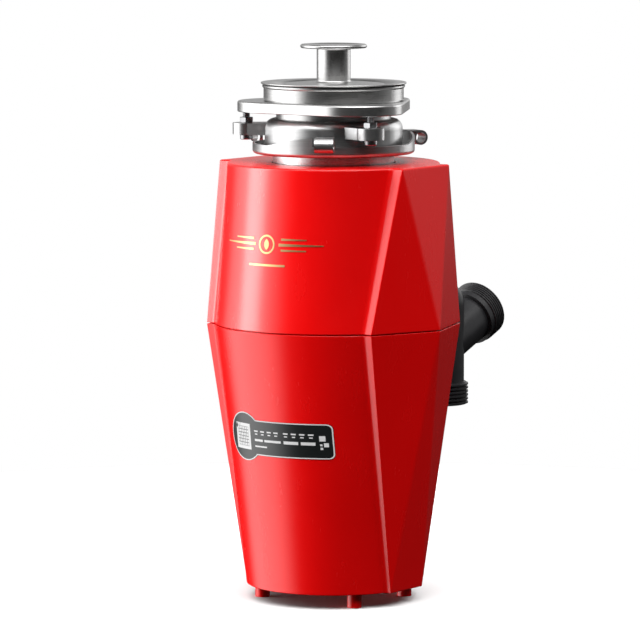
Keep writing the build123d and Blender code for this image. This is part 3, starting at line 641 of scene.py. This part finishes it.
def screw_rings(centre):
    """One screw: a round head below, then a right-hand thread up to its blunt end."""
    head = [
        (SCREW_POLE, SCREW_LOW),
        (SCREW_HEAD_RADIUS - 0.8, SCREW_LOW),
        (SCREW_HEAD_RADIUS - 0.2, SCREW_LOW + 0.25),
        (SCREW_HEAD_RADIUS, SCREW_LOW + 0.8),
        (SCREW_HEAD_RADIUS, SCREW_HEAD_HIGH - 0.3),
        (SCREW_HEAD_RADIUS - 0.3, SCREW_HEAD_HIGH),
        (SCREW_ROOT + 0.2, SCREW_HEAD_HIGH),
    ]
    rings = turned_rings(head, centre, SCREW_STEPS)
    thread_high = SCREW_HIGH - SCREW_TIP
    rows = int((thread_high - SCREW_HEAD_HIGH) / SCREW_PITCH * THREAD_ROWS)
    for row in range(1, rows + 1):
        z = lerp(SCREW_HEAD_HIGH, thread_high, row / rows)
        fade_high = (SCREW_HIGH - z) / THREAD_FADE_HIGH
        fade_low = (z - SCREW_HEAD_HIGH) / THREAD_FADE_LOW
        fade = min(1.0, fade_high, fade_low)
        ring = []
        for i, a in enumerate(around(SCREW_STEPS)):
            phase = (z / SCREW_PITCH - i / SCREW_STEPS) % 1.0
            ridge = 1 - abs(2 * phase - 1)
            r = lerp(SCREW_ROOT, SCREW_RADIUS, min(1.0, ridge * THREAD_FLAT) * fade)
            ring.append(polar(centre, r, a, z))
        rings.append(ring)
    end = [(SCREW_ROOT - 0.3, SCREW_HIGH), (SCREW_POLE, SCREW_HIGH)]
    return rings + turned_rings(end, centre, SCREW_STEPS)


def make_screws():
    points = []
    faces = []
    for centre in ear_places():
        first = len(points)
        loft_rings(screw_rings(centre), points, faces, closed=False)
        faces.append(tuple(range(first + SCREW_STEPS - 1, first - 1, -1)))
        faces.append(tuple(range(len(points) - SCREW_STEPS, len(points))))
    piece = make_piece(
        "mount_screws_threaded", points, faces, "housing", "zinc_fastener", sharp=50
    )
    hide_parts("mount_screws")


def hexagon(angle):
    """How far a nut's side faces are from its axis, at an angle round it."""
    corner = (math.degrees(angle) + 30) % 60 - 30
    return NUT_FLAT / math.cos(math.radians(30 - abs(corner)))


def nut_rings(centre):
    """A hexagon nut whose six corners are turned off at both ends."""
    bore = SCREW_RADIUS + NUT_PLAY
    turned = NUT_FLAT * NUT_TURNED
    angles = around(NUT_STEPS)

    def hex_ring(z, way):
        ring = []
        for a in angles:
            r = hexagon(a)
            ring.append(polar(centre, r, a, z + way * (r - turned) * NUT_SLOPE))
        return ring

    low = turned_rings([(bore, NUT_LOW), (turned, NUT_LOW)], centre, NUT_STEPS)
    high = turned_rings([(turned, NUT_HIGH), (bore, NUT_HIGH)], centre, NUT_STEPS)
    return low + [hex_ring(NUT_LOW, 1), hex_ring(NUT_HIGH, -1)] + high


def make_nuts():
    points = []
    faces = []
    for centre in ear_places():
        loft_rings(nut_rings(centre), points, faces)
    piece = make_piece("mount_nuts_chamfered", points, faces, "housing", "zinc_fastener", sharp=25)
    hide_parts("mount_nuts")


# ---- label print --------------------------------------------------------------------------------
# The label is a round head with a tail to its right. All places are (x, z) on the front panel.
LABEL_Z = 134.0
HEAD_X = -27.6
HEAD_RADIUS = 19.3
HEAD_STEPS = 64
TAIL_END_X = 49.1
TAIL_HALF = 13.9
TAIL_STEPS = 20
TAIL_CORNER = 4.0
TAIL_CORNER_STEPS = 6
PRINT_RISE = 0.04
PRINT_SINK = 0.02
BORDER = (0.15, 0.95)  # insets of the white line's two sides
BAR_STEP = 1.5

GRID_X = -39.3
GRID_WIDTH = 18.4
GRID_HALF = 10.2
GRID_CELLS = 8
GRID_MARGIN = 0.24

SMALL_BARS = (-16.2, -9.6, -3.0, 3.4, 12.0, 18.6, 25.2, 31.8)  # left ends
SMALL_BAR_WIDTH = 4.0
SMALL_BAR_INSET = 0.7  # of the lower bar of each pair
SMALL_BAR_HIGH = (138.6, 139.7)
SMALL_BAR_LOW = (136.4, 137.3)
# (left, right, low, high)
LONG_BARS = (
    (-16.2, -7.5, 131.2, 133.0),
    (-6.0, 9.5, 131.2, 133.0),
    (12.0, 24.0, 130.9, 133.3),
    (26.0, 36.7, 130.9, 133.3),
    (-16.2, -3.8, 126.6, 127.8),
)
# (x, z, half width)
SQUARES = ((41.6, 136.4, 2.1), (40.6, 131.3, 0.8), (44.0, 131.4, 1.6), (40.8, 128.5, 0.9))


def surface_of(node):
    mesh = nodes[node].data
    polygons = [tuple(p.vertices) for p in mesh.polygons]
    return BVHTree.FromPolygons([v.co for v in mesh.vertices], polygons)


def on_surface(tree, x, z):
    """The y, in millimetres, of the first surface met from the front."""
    hit = tree.ray_cast(Vector((x * MM, -0.2, z * MM)), Vector((0, 1, 0)))[0]
    return hit.y / MM


def print_ribbon(tree, one, two, points, faces, closed):
    """A thin closed strip of print between two lines of (x, z) points of equal length."""
    first = len(points)
    for line in (one, two):
        for x, z in line:
            y = on_surface(tree, x, z)
            points.append((x, y - PRINT_RISE, z))
            points.append((x, y + PRINT_SINK, z))
    count = len(one)
    spans = count if closed else count - 1
    for i in range(spans):
        j = (i + 1) % count
        a, b = first + 2 * i, first + 2 * j
        c, d = a + 2 * count, b + 2 * count
        faces += [(a, b, d, c), (a + 1, c + 1, d + 1, b + 1)]
        faces += [(a, a + 1, b + 1, b), (c, d, d + 1, c + 1)]
    if not closed:
        a, c = first, first + 2 * count
        faces.append((a, c, c + 1, a + 1))
        a, c = a + 2 * (count - 1), c + 2 * (count - 1)
        faces.append((a, a + 1, c + 1, c))


def print_bar(tree, left, right, low, high, points, faces):
    steps = max(1, int((right - left) / BAR_STEP))
    xs = [lerp(left, right, i / steps) for i in range(steps + 1)]
    print_ribbon(tree, [(x, low) for x in xs], [(x, high) for x in xs], points, faces, False)


def label_outline(inset):
    """The label's outline, shrunk by inset, as (x, z) points in order."""
    radius = HEAD_RADIUS - inset
    half = TAIL_HALF - inset
    end = TAIL_END_X - inset
    corner = TAIL_CORNER - inset * 0.6
    join = math.asin(half / radius)
    points = []
    for i in range(HEAD_STEPS + 1):
        a = lerp(join, 2 * math.pi - join, i / HEAD_STEPS)
        points.append((HEAD_X + radius * math.cos(a), LABEL_Z + radius * math.sin(a)))
    start = HEAD_X + radius * math.cos(join)
    shares = [i / TAIL_STEPS for i in range(1, TAIL_STEPS)]
    points += [(lerp(start, end - corner, s), LABEL_Z - half) for s in shares]
    for centre_z, turn in ((LABEL_Z - half + corner, -90), (LABEL_Z + half - corner, 0)):
        for i in range(TAIL_CORNER_STEPS + 1):
            a = math.radians(turn + 90 / TAIL_CORNER_STEPS * i)
            points.append((end - corner + corner * math.cos(a), centre_z + corner * math.sin(a)))
    points += [(lerp(end - corner, start, s), LABEL_Z + half) for s in shares]
    return points


def make_print():
    """The white line round the label, a grid of blocks, and plain bars and squares."""
    tree = surface_of("label")
    points = []
    faces = []
    print_ribbon(tree, *[label_outline(inset) for inset in BORDER], points, faces, True)

    bars = []
    width = GRID_WIDTH / GRID_CELLS
    height = 2 * GRID_HALF / GRID_CELLS
    rim = (0, GRID_CELLS - 1)
    for row in range(GRID_CELLS):
        for column in range(GRID_CELLS):
            left = GRID_X + column * width
            low = LABEL_Z - GRID_HALF + row * height
            m = 0.0 if row in rim or column in rim else GRID_MARGIN
            bars.append((left + m, left + width - m, low + m, low + height - m))
    for left in SMALL_BARS:
        right = left + SMALL_BAR_WIDTH
        bars.append((left, right, *SMALL_BAR_HIGH))
        bars.append((left + SMALL_BAR_INSET, right - SMALL_BAR_INSET, *SMALL_BAR_LOW))
    bars += LONG_BARS
    bars += [(x - half, x + half, z - half, z + half) for x, z, half in SQUARES]
    for bar in bars:
        print_bar(tree, *bar, points, faces)
    make_piece("label_print", points, faces, "housing", "label_black", material=PRINT_WHITE)


# ---- studio -------------------------------------------------------------------------------------
FLOOR_RADIUS = 0.75
FLOOR_STEPS = 96
FLOOR_DARK, FLOOR_PALE = (0.64, 0.64, 0.64), (0.66, 0.66, 0.66)
FLOOR_LIGHT_ENERGY = 3.3
FLOOR_LIGHT_ANGLE = 105  # degrees of sky that it comes from

# The room as the object sees it: soft upright panels of light round it, which stay where they are
# when the camera moves. (turn in degrees from the photograph's camera, half width that is full,
# half width that is lit, heights where it starts, is full, stops being full and ends, radiance);
# the heights are sines of the angle above the horizon.
PANELS = (
    (-92, 10, 46, (-0.75, -0.45, 0.50, 0.80), 2.8),
    (128, 14, 62, (-0.12, 0.10, 0.40, 0.70), 0.5),
    (180, 30, 60, (-0.12, 0.10, 0.50, 0.80), 0.4),
    (10, 40, 105, (0.50, 0.72, 0.92, 0.99), 5.0),
    (0, 180, 181, (0.88, 0.97, 1.10, 1.20), 1.0),
)
ROOM = 0.02  # radiance between the panels
FULL_TURN = (-2.0, -1.5)  # below every cosine, so that a panel goes all the way round
CAMERA_AZIMUTH = CAMERA_TURN - 90

METAL_SLOTS = ("stainless", "cast_steel", "zinc_fastener")
PLASTIC_SLOTS = ("cover_red", "label_black", "drain_black", "emblem_gold", "black_rubber")


def make_floor():
    """A small pale disc that only catches the contact shadow; the rest of the ground is white sky."""
    rim = [(FLOOR_RADIUS * math.cos(a), FLOOR_RADIUS * math.sin(a), 0) for a in around(FLOOR_STEPS)]
    faces = [(0, i + 1, (i + 1) % FLOOR_STEPS + 1) for i in range(FLOOR_STEPS)]
    mesh = bpy.data.meshes.new("floor")
    mesh.from_pydata([(0, 0, 0)] + rim, [], faces)
    floor = bpy.data.objects.new("floor", mesh)
    bpy.context.collection.objects.link(floor)
    n = Finish("floor")
    n.set(Base_Color=n.blend(n.noise(n.place(), scale=2), FLOOR_DARK, FLOOR_PALE))
    n.set(Roughness=0.9, Specular_IOR_Level=0.1)
    mesh.materials.append(n.material)
    floor.visible_glossy = False
    floor.visible_diffuse = False


def light_only(light, name, pieces):
    """Let a light fall on some pieces only."""
    takers = bpy.data.collections.new(name)
    for piece in pieces:
        takers.objects.link(piece)
    light.light_linking.receiver_collection = takers


def rim_light(name, turn, pitch, distance, width, height, power, aim, slots):
    """A rectangular light for the pieces of some material slots, at a turn off the camera."""
    data = bpy.data.lights.new(name, "AREA")
    data.shape = "RECTANGLE"
    data.size = width
    data.size_y = height
    data.energy = power
    light = bpy.data.objects.new(name, data)
    azimuth = math.radians(CAMERA_AZIMUTH + turn)
    rise = math.radians(pitch)
    flat = math.cos(rise)
    out = Vector((math.cos(azimuth) * flat, math.sin(azimuth) * flat, math.sin(rise)))
    light.location = Vector((0, 0, aim)) + out * distance
    light.rotation_mode = "QUATERNION"
    light.rotation_quaternion = (-out).to_track_quat("-Z", "Y")
    light.visible_camera = False
    bpy.context.collection.objects.link(light)
    wanted = {FINISHES[slot].name for slot in slots}
    dressed = [o for o in bpy.data.objects if o.type == "MESH" and o.data.materials]
    pieces = [o for o in dressed if o.data.materials[0].name in wanted]
    light_only(light, name + "_takers", pieces)


def panel_glow(n, x, y, z, flat, panel):
    """The radiance that one panel adds in the direction (x, y, z)."""
    turn, full, lit, heights, radiance = panel
    azimuth = math.radians(CAMERA_AZIMUTH + turn)
    across = n.math("MULTIPLY", x, math.cos(azimuth))
    along = n.math("MULTIPLY", y, math.sin(azimuth))
    facing = n.math("DIVIDE", n.math("ADD", across, along), flat)
    low, high = FULL_TURN
    if lit <= 180:
        low, high = math.cos(math.radians(lit)), math.cos(math.radians(full))
    wide = n.ramp(facing, low, high, soft=True)
    rise = n.ramp(z, heights[0], heights[1], soft=True)
    fall = n.math("SUBTRACT", 1.0, n.ramp(z, heights[2], heights[3], soft=True))
    return n.math("MULTIPLY", n.math("MULTIPLY", wide, rise), n.math("MULTIPLY", fall, radiance))


def make_sky():
    """White where the camera sees it; for the light on the object, the panels in a dark room."""
    world = bpy.data.worlds.new("studio")
    world.use_nodes = True
    bpy.context.scene.world = world
    n = Nodes(world.node_tree)
    place = n.add("ShaderNodeTexCoord").outputs["Generated"]
    x, y, z = n.add("ShaderNodeSeparateXYZ", Vector=place).outputs
    upright = n.math("SUBTRACT", 1.0, n.math("MULTIPLY", z, z))
    flat = n.math("SQRT", n.math("ADD", upright, 1e-5))
    glows = [panel_glow(n, x, y, z, flat, panel) for panel in PANELS]
    total = glows[0]
    for glow in glows[1:]:
        total = n.math("ADD", total, glow)
    total = n.math("ADD", total, ROOM)
    seen = n.add("ShaderNodeLightPath").outputs["Is Camera Ray"]
    strength = n.add("ShaderNodeMix", Factor=seen, A=total, B=1.0).outputs["Result"]
    background = n.tree.nodes["Background"]
    n.plug(background.inputs["Strength"], strength)
    n.plug(background.inputs["Color"], (1, 1, 1, 1))


def make_light():
    """The panels, a broad light that keeps the floor white, and one lamp each for metal and plastic."""
    make_sky()
    top = bpy.data.lights.new("floor_light", "SUN")
    top.energy = FLOOR_LIGHT_ENERGY
    top.angle = math.radians(FLOOR_LIGHT_ANGLE)
    light = bpy.data.objects.new("floor_light", top)
    bpy.context.collection.objects.link(light)
    light_only(light, "floor_only", [bpy.data.objects["floor"]])
    rim_light(
        "metal_right", turn=130, pitch=8, distance=1.4, width=0.7, height=0.9,
        power=3, aim=0.39, slots=METAL_SLOTS,
    )
    rim_light(
        "cover_key", turn=-88, pitch=16, distance=1.6, width=0.7, height=1.4,
        power=27, aim=0.28, slots=PLASTIC_SLOTS,
    )


bpy.context.scene.view_settings.view_transform = "Standard"
make_camera()
dress_cad()
make_upper_cover()
make_lower_cover()
make_tongue()
make_bosses()
make_screws()
make_nuts()
make_print()
make_floor()
make_light()
